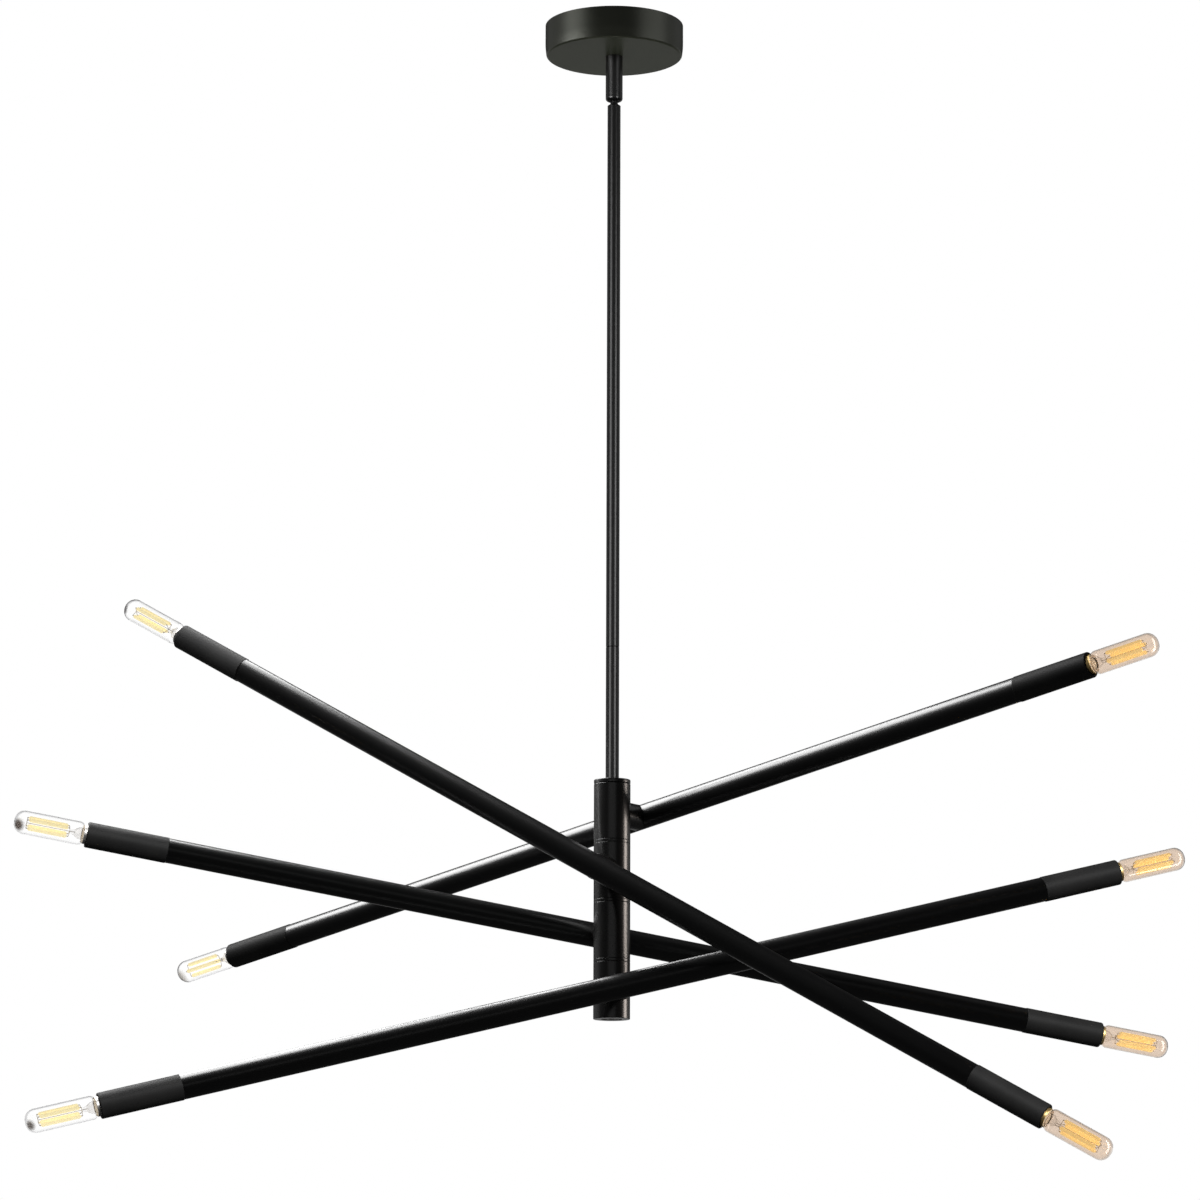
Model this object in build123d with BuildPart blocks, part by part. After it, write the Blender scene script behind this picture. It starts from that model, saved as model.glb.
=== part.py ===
"""Black ceiling light: a ball swivel, a down rod and a column of four turning hubs, each with a
hinged arm that carries a tubular lamp at both ends.

Millimetres and degrees. The origin is on the ceiling plane, on the axis that the light hangs from.
+Z is up and the viewer stands on the -Y side.
"""
import os

from build123d import *

os.makedirs("parts", exist_ok=True)

# Fits
thread_clearance = 0.05
running_clearance = 0.05
register_clearance = 0.1
face_gap = 0.05
braze_gap = 0.05

# Canopy and ceiling strap
canopy_dia = 122.0
canopy_height = 28.1
canopy_wall = 1.2
canopy_edge_radius = 2.0
strap_length = 108.0
strap_width = 22.0
strap_thickness = 2.0
strap_corner_radius = 4.0
strap_collar_dia = 15.0
strap_collar_height = 3.0
slot_spacing = 79.0
slot_length = 17.0
slot_width = 5.2

# Ball swivel
thread_dia = 9.4
stud_bore = 5.0
swivel_dia = 15.0
swivel_wall = 1.1
swivel_length = 41.1
swivel_edge_radius = 2.6
plug_length = 15.0
lip_thickness = 1.0
lip_mouth_dia = 9.2
ball_dia = 11.2
ball_above_mouth = 4.6
ball_clearance = 0.1
seat_height = 3.1
neck_dia = 6.6
neck_reach = 7.7
shoulder_height = 1.0
shoulder_top_dia = 8.4
spigot_length = 12.0
stem_bore = 3.6

# Down rod
rod_dia = 11.5
rod_upper_length = 485.8
rod_lower_length = 116.3
rod_edge_chamfer = 0.4

# Column
hub_dia = 31.5
hub_height = 48.6
hub_wall = 2.0
hub_floor = 6.5
hub_chamfer = 0.4
cap_thickness = 3.8
cap_edge_radius = 0.6
cap_groove_chamfer = 0.8
ring_thickness = 2.6
ring_chamfer = 0.3
register_depth = 2.5
spine_in_rod = 14.0
spine_bore = 5.0
wire_window_width = 4.0
wire_window_height = 12.0
nut_recess_dia = 18.0
nut_recess_depth = 3.4
spine_nut_dia = 16.0
spine_nut_height = 3.0
spine_nut_slot = 2.0
spine_nut_slot_depth = 1.0

# Hinge between hub and arm
stub_dia = 22.6
stub_length = 15.65
boss_length = 6.3
stub_chamfer = 0.3
hinge_gap = 0.1
inner_pad = 2.75
saddle_setback = 4.0
pivot_bore = 5.0
pivot_nut_flats = 13.0
pivot_nut_height = 3.5
pivot_end_show = 0.4

# Arm
tube_dia = 21.2
tube_wall = 1.5
tube_length = 768.0

# Lamp socket and its cover
cover_dia = 22.0
cover_length = 70.0
cover_wall = 1.6
cover_lip_radius = 1.2
socket_clearance = 0.2
socket_recess = 4.0
socket_plug_length = 12.0
socket_cup_depth = 15.0
socket_floor = 3.0
socket_wire_bore = 5.0
socket_edge = 0.8

# Lamp
bulb_dia = 20.0
bulb_reach = 62.0
glass_length = 59.5
glass_wall = 0.8
glass_shoulder_radius = 4.0
glass_tip_radius = 8.5
base_dia = 13.8
base_clearance = 0.1
base_skirt_dia = 16.8
base_skirt_height = 3.0
base_skirt_slope = 1.5
base_shell_length = 14.5
base_cone_length = 4.5
base_cone_dia = 8.0
contact_dia = 4.6
contact_height = 1.6
stem_gap = 0.1
stem_dia = 6.0
stem_tip_dia = 2.4
stem_length = 11.0
stick_count = 4
stick_width = 2.7
stick_length = 34.0
stick_start = 13.7
stick_circle_dia = 10.4
support_thickness = 0.7
support_width = 1.0
support_rod_dia = 1.2

# How far each lamp is screwed round, from the top arm's left lamp to the bottom arm's right lamp
stick_turns = (73.0, 37.0, 33.0, 17.0, 23.0, 37.0, 30.0, 32.0)

# Pose of the arms, top hub first: where each stub points (0 is away from the viewer, 90 is to the
# viewer's right) and how far the arm's right-hand end is raised
stub_headings = (33.6, 201.4, -11.5, 168.0)
arm_tilts = (12.0, -29.4, -9.6, 14.0)

# Heights that follow from the sizes, counted down from the ceiling
thread_r = thread_dia / 2
thread_hole_r = thread_r + thread_clearance
swivel_top = -canopy_height
swivel_mouth = swivel_top - swivel_length
ball_z = swivel_mouth + ball_above_mouth
shoulder_z = ball_z - neck_reach
rod_top = shoulder_z - shoulder_height
rod_joint = rod_top - rod_upper_length
column_top = rod_joint - rod_lower_length
hub_pitch = hub_height + ring_thickness + 2 * face_gap
first_hub_top = column_top - cap_thickness - face_gap
hub_tops = [first_hub_top - index * hub_pitch for index in range(len(stub_headings))]
column_bottom = hub_tops[-1] - hub_height

# Radii and distances that follow from the sizes
swivel_bore_r = swivel_dia / 2 - swivel_wall
hub_bore_r = hub_dia / 2 - hub_wall
register_r = hub_bore_r - register_clearance
tube_bore_r = tube_dia / 2 - tube_wall
cover_bore_r = cover_dia / 2 - cover_wall
pad_face = hub_bore_r - inner_pad
hinge_face = hub_dia / 2 + boss_length
arm_offset = hub_dia / 2 + stub_length + tube_dia / 2
nut_face = pad_face - hinge_gap
pivot_end = nut_face - pivot_nut_height - pivot_end_show


def save(piece, name):
    """Label a finished piece and write it to its own file."""
    piece.label = name
    export_step(piece, f"parts/{name}.step")


def turned(*corners):
    """Turn a closed profile of (radius, height) corners about the hanging axis."""
    with BuildSketch(Plane.XZ) as profile:
        with BuildLine():
            Polyline(*corners, close=True)
        make_face()
    revolve(profile.sketch, axis=Axis.Z)


# Canopy: a drawn cup, open towards the ceiling
with BuildPart() as canopy:
    with BuildSketch():
        Circle(canopy_dia / 2)
    extrude(amount=-canopy_height)
    fillet(canopy.edges().group_by(Axis.Z)[0], radius=canopy_edge_radius)
    offset(amount=-canopy_wall, openings=canopy.faces().sort_by(Axis.Z)[-1])
    Hole(thread_hole_r)
save(canopy.part, "canopy")

# Ceiling strap: a slotted bar with a tapped collar for the stud
with BuildPart() as ceiling_strap:
    with BuildSketch():
        RectangleRounded(strap_length, strap_width, strap_corner_radius)
        with GridLocations(slot_spacing, 0, 2, 1):
            SlotOverall(slot_length, slot_width, mode=Mode.SUBTRACT)
    extrude(amount=-strap_thickness)
    with BuildSketch(Plane.XY.offset(-strap_thickness)):
        Circle(strap_collar_dia / 2)
    extrude(amount=-strap_collar_height)
    Hole(thread_hole_r)
save(ceiling_strap.part, "ceiling_strap")

# Canopy stud: hollow thread with the plug that closes the swivel
plug_r = swivel_bore_r - thread_clearance
plug_end = swivel_top - plug_length
with BuildPart() as canopy_stud:
    turned(
        (stud_bore / 2, -face_gap),
        (thread_r, -face_gap),
        (thread_r, swivel_top),
        (plug_r, swivel_top),
        (plug_r, plug_end),
        (stud_bore / 2, plug_end),
    )
save(canopy_stud.part, "canopy_stud")

# Swivel housing: a barrel with a rounded end and a lip that the seat rests on
lip_top = swivel_mouth + lip_thickness
with BuildPart() as swivel_housing:
    turned(
        (swivel_bore_r, swivel_top),
        (swivel_dia / 2, swivel_top),
        (swivel_dia / 2, swivel_mouth),
        (lip_mouth_dia / 2, swivel_mouth),
        (lip_mouth_dia / 2, lip_top),
        (swivel_bore_r, lip_top),
    )
    fillet(swivel_housing.edges().group_by(Axis.Z)[0].sort_by(SortBy.RADIUS)[-1], swivel_edge_radius)
save(swivel_housing.part, "swivel_housing")

# Swivel seat: a ring with a ball-shaped hollow
seat_floor = lip_top + face_gap
seat_r = swivel_bore_r - running_clearance
with BuildPart() as swivel_seat:
    with BuildSketch(Plane.XY.offset(seat_floor)):
        Circle(seat_r)
    extrude(amount=seat_height)
    with Locations((0, 0, ball_z)):
        Sphere(ball_dia / 2 + ball_clearance, mode=Mode.SUBTRACT)
save(swivel_seat.part, "swivel_seat")

# Ball stem: ball, neck, shoulder on the rod's end and a spigot inside the rod
rod_bore_r = thread_hole_r
with BuildPart() as ball_stem:
    with Locations((0, 0, ball_z)):
        Sphere(ball_dia / 2)
    turned(
        (0, ball_z),
        (neck_dia / 2, ball_z),
        (neck_dia / 2, shoulder_z),
        (shoulder_top_dia / 2, shoulder_z),
        (rod_dia / 2, rod_top),
        (thread_r, rod_top),
        (thread_r, rod_top - spigot_length),
        (0, rod_top - spigot_length),
    )
    with Locations((0, 0, ball_z + ball_dia)):
        Hole(stem_bore / 2)
save(ball_stem.part, "ball_stem")

# Upper rod: a plain tube
with BuildPart() as rod_upper:
    with BuildSketch(Plane.XY.offset(rod_joint)):
        Circle(rod_dia / 2)
        Circle(rod_bore_r, mode=Mode.SUBTRACT)
    extrude(amount=rod_upper_length)
    chamfer(rod_upper.edges().group_by(Axis.Z)[0].sort_by(SortBy.RADIUS)[-1], rod_edge_chamfer)
save(rod_upper.part, "rod_upper")

# Lower rod: a tube with a hollow spigot that screws into the upper rod
with BuildPart() as rod_lower:
    turned(
        (rod_bore_r, column_top),
        (rod_dia / 2, column_top),
        (rod_dia / 2, rod_joint - rod_edge_chamfer),
        (rod_dia / 2 - rod_edge_chamfer, rod_joint),
        (thread_r, rod_joint),
        (thread_r, rod_joint + spigot_length),
        (stud_bore / 2, rod_joint + spigot_length),
        (stud_bore / 2, rod_joint - spigot_length),
        (rod_bore_r, rod_joint - spigot_length),
    )
save(rod_lower.part, "rod_lower")


def register_disc(top, thickness):
    """Turn a disc of the column's diameter, with a register that centres the hub below it."""
    turned(
        (thread_hole_r, top),
        (hub_dia / 2, top),
        (hub_dia / 2, top - thickness),
        (register_r, top - thickness),
        (register_r, top - thickness - register_depth),
        (thread_hole_r, top - thickness - register_depth),
    )


# Column cap: the disc that the rod stands on
with BuildPart() as column_cap:
    register_disc(column_top, cap_thickness)
    cap_rims = column_cap.edges().filter_by(GeomType.CIRCLE).sort_by(SortBy.RADIUS)[-2:]
    fillet(cap_rims.sort_by(Axis.Z)[-1], cap_edge_radius)
    chamfer(cap_rims.sort_by(Axis.Z)[0], cap_groove_chamfer)
save(column_cap.part, "column_cap")

# Spacer rings: three thin discs between the hubs
with BuildPart() as spacer_rings:
    for hub_top in hub_tops[:-1]:
        register_disc(hub_top - hub_height - face_gap, ring_thickness)
    ring_rims = spacer_rings.edges().filter_by(GeomType.CIRCLE).group_by(SortBy.RADIUS)[-1]
    chamfer(ring_rims, ring_chamfer)
save(spacer_rings.part, "spacer_rings")

# Spine: hollow thread through the column, with a window for the wires in each hub
spine_top = column_top + spine_in_rod
spine_end = column_bottom + nut_recess_depth - spine_nut_height
with BuildPart() as spine:
    with BuildSketch(Plane.XY.offset(spine_end)):
        Circle(thread_r)
        Circle(spine_bore / 2, mode=Mode.SUBTRACT)
    extrude(amount=spine_top - spine_end)
    with BuildSketch(Plane.XZ):
        for hub_top in hub_tops:
            with Locations((0, hub_top - hub_height / 2)):
                SlotOverall(wire_window_height, wire_window_width, rotation=90)
    extrude(amount=thread_dia, mode=Mode.SUBTRACT)
save(spine.part, "spine")

# Spine nut: slotted round nut that lies flush in the lowest hub
with BuildPart() as spine_nut:
    with BuildSketch(Plane.XY.offset(spine_end)):
        Circle(spine_nut_dia / 2)
        Circle(thread_hole_r, mode=Mode.SUBTRACT)
    extrude(amount=spine_nut_height - face_gap)
    with BuildSketch(Plane.XY.offset(spine_end)):
        Rectangle(spine_nut_dia, spine_nut_slot)
    extrude(amount=spine_nut_slot_depth, mode=Mode.SUBTRACT)
save(spine_nut.part, "spine_nut")


def lamp_profile(section, corners):
    """Turn a closed profile of (radius, distance out) corners about the arm's axis."""
    with BuildSketch(section) as profile:
        with BuildLine():
            Polyline(*corners, close=True)
        make_face()
    revolve(profile.sketch, axis=Axis(section.origin, section.y_dir))


def round_ended(section, radius, start, end, start_radius, end_radius, mode=Mode.ADD):
    """Turn a cylinder with rounded ends about the arm's axis."""
    with BuildSketch(section) as outline:
        with Locations((radius / 2, (start + end) / 2)):
            Rectangle(radius, end - start)
        fillet(outline.vertices().group_by(Axis.X)[-1].sort_by(Axis.Y)[-1], end_radius)
        fillet(outline.vertices().group_by(Axis.X)[-1].sort_by(Axis.Y)[0], start_radius)
    revolve(outline.sketch, axis=Axis(section.origin, section.y_dir), mode=mode)


def across(section, distance):
    """The plane square to the arm's axis, this far out from the tube's end."""
    return Plane(section.origin + section.y_dir * distance, x_dir=section.x_dir, z_dir=section.y_dir)


bulb_number = 0
for arm_number, hub_top in enumerate(hub_tops, start=1):
    heading = stub_headings[arm_number - 1]
    tilt = arm_tilts[arm_number - 1]

    # Directions of this arm: along the stub, and along the arm towards the viewer's right
    stub_way = Vector(0, 1, 0).rotate(Axis.Z, -heading)
    level_way = Vector(1, 0, 0).rotate(Axis.Z, -heading)
    if level_way.X < 0:
        level_way = -level_way
    raise_axis = Axis((0, 0, 0), level_way.cross(Vector(0, 0, 1)))
    arm_way = level_way.rotate(raise_axis, tilt)
    hinge_centre = Vector(0, 0, hub_top - hub_height / 2)
    arm_centre = hinge_centre + stub_way * arm_offset
    stub_plane = Plane(origin=hinge_centre, x_dir=arm_way, z_dir=stub_way)
    arm_plane = Plane(origin=arm_centre, x_dir=stub_way, z_dir=arm_way)

    # Hub: a cup with a bearing floor, a boss for the arm and a flat pad inside it
    hub_floor_z = hub_top - hub_height
    recess_top = hub_floor_z + nut_recess_depth
    with BuildPart() as hub:
        turned(
            (thread_r + running_clearance, recess_top),
            (nut_recess_dia / 2, recess_top),
            (nut_recess_dia / 2, hub_floor_z),
            (hub_dia / 2, hub_floor_z),
            (hub_dia / 2, hub_top),
            (hub_bore_r, hub_top),
            (hub_bore_r, hub_floor_z + hub_floor),
            (thread_r + running_clearance, hub_floor_z + hub_floor),
        )
        hub_rims = hub.edges().filter_by(GeomType.CIRCLE).sort_by(SortBy.RADIUS)[-2:]
        chamfer(hub_rims, hub_chamfer)
        with BuildSketch(stub_plane.offset(pad_face)):
            Circle(stub_dia / 2)
        extrude(amount=hinge_face - pad_face)
        chamfer(hub.faces().sort_by(Axis(hinge_centre, stub_way))[-1].edges(), stub_chamfer)
        with BuildSketch(stub_plane.offset(pad_face)):
            Circle(thread_r + running_clearance)
        extrude(amount=hinge_face - pad_face, mode=Mode.SUBTRACT)
    save(hub.part, f"hub_{arm_number}")

    # Arm pivot: hollow shaft through the boss, with a collar that is saddled to the arm
    collar_face = hinge_face + hinge_gap
    with BuildPart() as arm_pivot:
        with BuildSketch(stub_plane.offset(collar_face)):
            Circle(stub_dia / 2)
        extrude(amount=arm_offset - saddle_setback - collar_face)
        chamfer(arm_pivot.faces().sort_by(Axis(hinge_centre, stub_way))[0].edges(), stub_chamfer)
        with BuildSketch(stub_plane.offset(pivot_end)):
            Circle(thread_r)
        extrude(amount=collar_face - pivot_end)
        with BuildSketch(stub_plane.offset(pivot_end)):
            Circle(pivot_bore / 2)
        extrude(amount=arm_offset - pivot_end, mode=Mode.SUBTRACT)
        with BuildSketch(arm_plane):
            Circle(tube_dia / 2 + braze_gap)
        extrude(amount=stub_dia, both=True, mode=Mode.SUBTRACT)
    save(arm_pivot.part, f"arm_pivot_{arm_number}")

    # Pivot nut: draws the collar against the boss from inside the hub
    with BuildPart() as pivot_nut:
        with BuildSketch(stub_plane.offset(nut_face - pivot_nut_height)):
            RegularPolygon(pivot_nut_flats / 2, 6, major_radius=False)
            Circle(thread_hole_r, mode=Mode.SUBTRACT)
        extrude(amount=pivot_nut_height)
    save(pivot_nut.part, f"pivot_nut_{arm_number}")

    # Arm tube: a straight tube with a wire hole where the pivot meets it
    with BuildPart() as arm_tube:
        with BuildSketch(arm_plane):
            Circle(tube_dia / 2)
            Circle(tube_bore_r, mode=Mode.SUBTRACT)
        extrude(amount=tube_length / 2, both=True)
        with BuildSketch(stub_plane):
            Circle(pivot_bore / 2)
        extrude(amount=arm_offset, mode=Mode.SUBTRACT)
    save(arm_tube.part, f"arm_tube_{arm_number}")

    # Planes through the arm's axis at its two ends: X is the radius and Y runs outwards
    end_sections = []
    for outward in (-arm_way, arm_way):
        tube_end = arm_centre + outward * (tube_length / 2)
        end_sections.append(Plane(origin=tube_end, x_dir=outward.cross(stub_way), z_dir=stub_way))

    # Socket covers: sleeves with a rounded mouth
    with BuildPart() as socket_covers:
        for section in end_sections:
            with BuildSketch(section) as sleeve:
                with Locations((cover_dia / 2 - cover_wall / 2, cover_length / 2)):
                    Rectangle(cover_wall, cover_length)
                mouth_corner = sleeve.vertices().group_by(Axis.Y)[-1].sort_by(Axis.X)[-1]
                fillet(mouth_corner, cover_lip_radius)
            revolve(axis=Axis(section.origin, section.y_dir))
    save(socket_covers.part, f"socket_covers_{arm_number}")

    # Lamp sockets: plugged into the tube, with a cup that takes the lamp's base
    socket_r = cover_bore_r - socket_clearance
    socket_plug_r = tube_bore_r - socket_clearance
    socket_mouth = cover_length - socket_recess
    cup_r = base_dia / 2 + base_clearance
    cup_floor = socket_mouth - socket_cup_depth
    with BuildPart() as lamp_sockets:
        for section in end_sections:
            lamp_profile(
                section,
                [
                    (socket_wire_bore / 2, -socket_plug_length),
                    (socket_plug_r, -socket_plug_length),
                    (socket_plug_r, 0),
                    (socket_r, 0),
                    (socket_r, socket_mouth - socket_edge),
                    (socket_r - socket_edge, socket_mouth),
                    (cup_r, socket_mouth),
                    (cup_r, cup_floor),
                    (0, cup_floor),
                    (0, cup_floor - socket_floor),
                    (socket_wire_bore / 2, cup_floor - socket_floor),
                ],
            )
    save(lamp_sockets.part, f"lamp_sockets_{arm_number}")

    for section in end_sections:
        stick_turn = stick_turns[bulb_number]
        bulb_number += 1
        base_top = cover_length + bulb_reach - glass_length
        glass_tip = cover_length + bulb_reach
        stick_low = base_top + stick_start
        stick_high = stick_low + stick_length

        # Glass: a tube with a rounded shoulder and a domed tip, open where the stem enters
        with BuildPart() as bulb_glass:
            round_ended(section, bulb_dia / 2, base_top, glass_tip, glass_shoulder_radius, glass_tip_radius)
            round_ended(
                section,
                bulb_dia / 2 - glass_wall,
                base_top + glass_wall,
                glass_tip - glass_wall,
                glass_shoulder_radius - glass_wall,
                glass_tip_radius - glass_wall,
                Mode.SUBTRACT,
            )
            with BuildSketch(across(section, base_top)):
                Circle(stem_dia / 2 + stem_gap)
            extrude(amount=glass_wall, mode=Mode.SUBTRACT)
        save(bulb_glass.part, f"bulb_glass_{bulb_number}")

        # Base: flared skirt at the glass, screw shell, insulating cone and centre contact
        skirt_low = base_top - base_skirt_height
        shell_end = base_top - base_shell_length
        cone_end = shell_end - base_cone_length
        contact_end = cone_end - contact_height
        with BuildPart() as bulb_base:
            lamp_profile(
                section,
                [
                    (0, contact_end),
                    (contact_dia / 2, contact_end),
                    (contact_dia / 2, cone_end),
                    (base_cone_dia / 2, cone_end),
                    (base_dia / 2, shell_end),
                    (base_dia / 2, skirt_low - base_skirt_slope),
                    (base_skirt_dia / 2, skirt_low),
                    (base_skirt_dia / 2, base_top),
                    (0, base_top),
                ],
            )
        save(bulb_base.part, f"bulb_base_{bulb_number}")

        # Filament: glass stem, centre wire and the sticks between two crosses
        with BuildPart() as bulb_filament:
            lamp_profile(
                section,
                [
                    (0, base_top),
                    (stem_dia / 2, base_top),
                    (stem_tip_dia / 2, base_top + stem_length),
                    (support_rod_dia / 2, base_top + stem_length),
                    (support_rod_dia / 2, stick_high),
                    (0, stick_high),
                ],
            )
            with BuildSketch(across(section, stick_low)):
                with PolarLocations(stick_circle_dia / 2, stick_count, start_angle=stick_turn):
                    Circle(stick_width / 2)
            extrude(amount=stick_length)
            with BuildSketch(across(section, stick_low), across(section, stick_high - support_thickness)):
                with PolarLocations(stick_circle_dia / 4, stick_count, start_angle=stick_turn):
                    Rectangle(stick_circle_dia / 2, support_width)
            extrude(amount=support_thickness)
        save(bulb_filament.part, f"bulb_filament_{bulb_number}")
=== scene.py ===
import math

import bmesh
import bpy
from mathutils import Matrix, Vector


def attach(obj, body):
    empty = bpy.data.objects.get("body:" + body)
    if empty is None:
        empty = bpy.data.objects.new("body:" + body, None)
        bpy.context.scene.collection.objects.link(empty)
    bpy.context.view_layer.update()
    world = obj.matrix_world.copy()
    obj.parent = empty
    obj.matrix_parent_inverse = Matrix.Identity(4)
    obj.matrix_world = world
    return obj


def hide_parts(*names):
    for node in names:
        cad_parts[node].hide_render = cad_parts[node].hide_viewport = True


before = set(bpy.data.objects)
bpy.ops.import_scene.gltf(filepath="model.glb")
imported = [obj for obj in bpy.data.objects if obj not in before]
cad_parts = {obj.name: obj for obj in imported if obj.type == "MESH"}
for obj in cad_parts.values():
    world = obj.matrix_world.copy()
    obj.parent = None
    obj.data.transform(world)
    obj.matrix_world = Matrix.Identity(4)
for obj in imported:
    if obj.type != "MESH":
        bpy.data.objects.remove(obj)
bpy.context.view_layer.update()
mm = 0.001

# Canopy: a shallow cup drawn from steel sheet and powder coated in satin black. Low down, its wall
# leans in towards the rounded edge. It covers the ceiling box and is clamped by the swivel,
# which screws onto the stud under it. Sizes are in millimetres.
canopy_radius = 61.0
canopy_height = 28.1
canopy_wall = 1.2
canopy_edge = 2.0
canopy_tuck = 1.0
lean_start = 17.0
lean_steps = 10
lean_span = 19.0
lean_depth = 1.6
thread_hole = 4.75
fine_edge = 0.2
soft_edge = 0.3
arc_step = math.radians(15)
long_run = 3.0
crease = math.radians(32)


class Shade:
    """A shader socket that sums can be written with."""

    def __init__(self, tree, socket):
        self.tree = tree
        self.socket = socket

    def node(self, kind, settings, sockets, out=0):
        """Add a node: its settings first, then a value or a link for each named socket."""
        new = self.tree.nodes.new(kind)
        for name, value in settings.items():
            setattr(new, name, value)
        for name, value in sockets.items():
            if isinstance(value, Shade):
                self.tree.links.new(value.socket, new.inputs[name])
            else:
                new.inputs[name].default_value = value
        return Shade(self.tree, new.outputs[out])

    def sum(self, operation, first, second):
        """One step of arithmetic on two values."""
        return self.node("ShaderNodeMath", {"operation": operation}, {0: first, 1: second})

    def __add__(self, other):
        return self.sum("ADD", self, other)

    def __radd__(self, other):
        return self.sum("ADD", other, self)

    def __sub__(self, other):
        return self.sum("SUBTRACT", self, other)

    def __rsub__(self, other):
        return self.sum("SUBTRACT", other, self)

    def __mul__(self, other):
        return self.sum("MULTIPLY", self, other)

    def __rmul__(self, other):
        return self.sum("MULTIPLY", other, self)

    def grain(self, scale, detail=2.0):
        """Noise of this many lumps to the metre."""
        sockets = {"Vector": self, "Scale": scale, "Detail": detail}
        return self.node("ShaderNodeTexNoise", {}, sockets)

    def between(self, low, high):
        """0 below low, 1 above high and smooth in between."""
        return self.node(
            "ShaderNodeMapRange",
            {"interpolation_type": "SMOOTHSTEP"},
            {"Value": self, "From Min": low, "From Max": high},
        )

    def tint(self, dark, light):
        """A colour that goes from dark to light as this value goes from 0 to 1."""
        return self.node(
            "ShaderNodeMix",
            {"data_type": "RGBA"},
            {"Factor": self, 6: (*dark, 1.0), 7: (*light, 1.0)},
            out=2,
        )

    def feed(self, shader, name):
        """Hand this value to a socket of the main shader."""
        self.tree.links.new(self.socket, shader.inputs[name])


def new_finish(name):
    """A material with its main shader, and the place of a point on the piece."""
    finish = bpy.data.materials.new(name)
    finish.use_nodes = True
    tree = finish.node_tree
    shader = tree.nodes["Principled BSDF"]
    place = Shade(tree, tree.nodes.new("ShaderNodeTexCoord").outputs["Object"])
    return finish, shader, place


def black_coat(name, dark, light, roughness, spread, peel_scale, peel_depth, shine=0.5):
    """Sprayed black: cloudy colour and gloss, and the fine peel of the coat."""
    finish, shader, place = new_finish(name)
    cloud = place.grain(40.0, 3.0)
    cloud.between(0.3, 0.7).tint(dark, light).feed(shader, "Base Color")
    (roughness + spread * (cloud - 0.5)).feed(shader, "Roughness")
    peel = place.grain(peel_scale, 2.0)
    bump = place.node(
        "ShaderNodeBump", {}, {"Strength": 0.5, "Distance": peel_depth * mm, "Height": peel}
    )
    bump.feed(shader, "Normal")
    shader.inputs["Specular IOR Level"].default_value = shine
    return finish


def rounded(*corners):
    """A closed outline of (radius, distance, rounding) corners, the roundings drawn as arcs.

    A long run gets a point close to each of its ends, which keeps it flat in smooth shading.
    """
    outline = []
    for index, (radius, distance, rounding) in enumerate(corners):
        here = Vector((radius, distance))
        if rounding == 0:
            outline.append(here)
            continue
        back = (Vector(corners[index - 1][:2]) - here).normalized()
        ahead = (Vector(corners[(index + 1) % len(corners)][:2]) - here).normalized()
        half = back.angle(ahead) / 2
        centre = here + (back + ahead).normalized() * (rounding / math.sin(half))
        start = here + back * (rounding / math.tan(half)) - centre
        turn = start.angle_signed(here + ahead * (rounding / math.tan(half)) - centre)
        steps = max(3, round(abs(turn) / arc_step))
        for step in range(steps + 1):
            angle = -turn * step / steps
            outline.append(centre + Matrix.Rotation(angle, 2) @ start)
    held = []
    for index, here in enumerate(outline):
        ahead = outline[(index + 1) % len(outline)]
        held.append(here)
        run = ahead - here
        if run.length > long_run:
            held.append(here + run.normalized() * soft_edge)
            held.append(ahead - run.normalized() * soft_edge)
    return held


def standing(origin, along, side):
    """A frame with its Z along a turned piece's axis, its origin in millimetres."""
    z = Vector(along).normalized()
    x = (Vector(side) - z * z.dot(Vector(side))).normalized()
    turn = Matrix((x, z.cross(x), z)).transposed()
    return Matrix.Translation(Vector(origin) * mm) @ turn.to_4x4()


upright = standing((0, 0, 0), (0, 0, 1), (1, 0, 0))


def turned(bm, outline, place=upright, steps=128, index=0):
    """Add a closed outline, turned about the frame's Z axis, to a mesh in the making."""
    rings = []
    for step in range(steps):
        angle = 2 * math.pi * step / steps
        ring = []
        for radius, distance in outline:
            point = Vector((radius * math.cos(angle), radius * math.sin(angle), distance))
            ring.append(bm.verts.new(place @ (point * mm)))
        rings.append(ring)
    made = []
    for step in range(steps):
        ring = rings[step]
        following = rings[(step + 1) % steps]
        for low in range(len(outline)):
            high = (low + 1) % len(outline)
            if outline[low][0] < 1e-6 and outline[high][0] < 1e-6:
                continue
            made.append(bm.faces.new((ring[low], following[low], following[high], ring[high])))
    verts = [vert for ring in rings for vert in ring]
    bmesh.ops.remove_doubles(bm, verts=verts, dist=1e-7)
    made = [face for face in made if face.is_valid]
    for face in made:
        face.material_index = index
        face.smooth = True
    bmesh.ops.recalc_face_normals(bm, faces=made)


def piece(name, bm, body, slot, nodes, *finishes):
    """Close a mesh in the making, and let it ride a body in place of its CAD nodes."""
    mesh = bpy.data.meshes.new(name)
    bm.to_mesh(mesh)
    bm.free()
    mesh.set_sharp_from_angle(angle=crease)
    made = bpy.data.objects.new(name, mesh)
    bpy.context.scene.collection.objects.link(made)
    for finish in finishes:
        mesh.materials.append(finish)
    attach(made, body)
    if nodes:
        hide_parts(*nodes)
    return made


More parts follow.
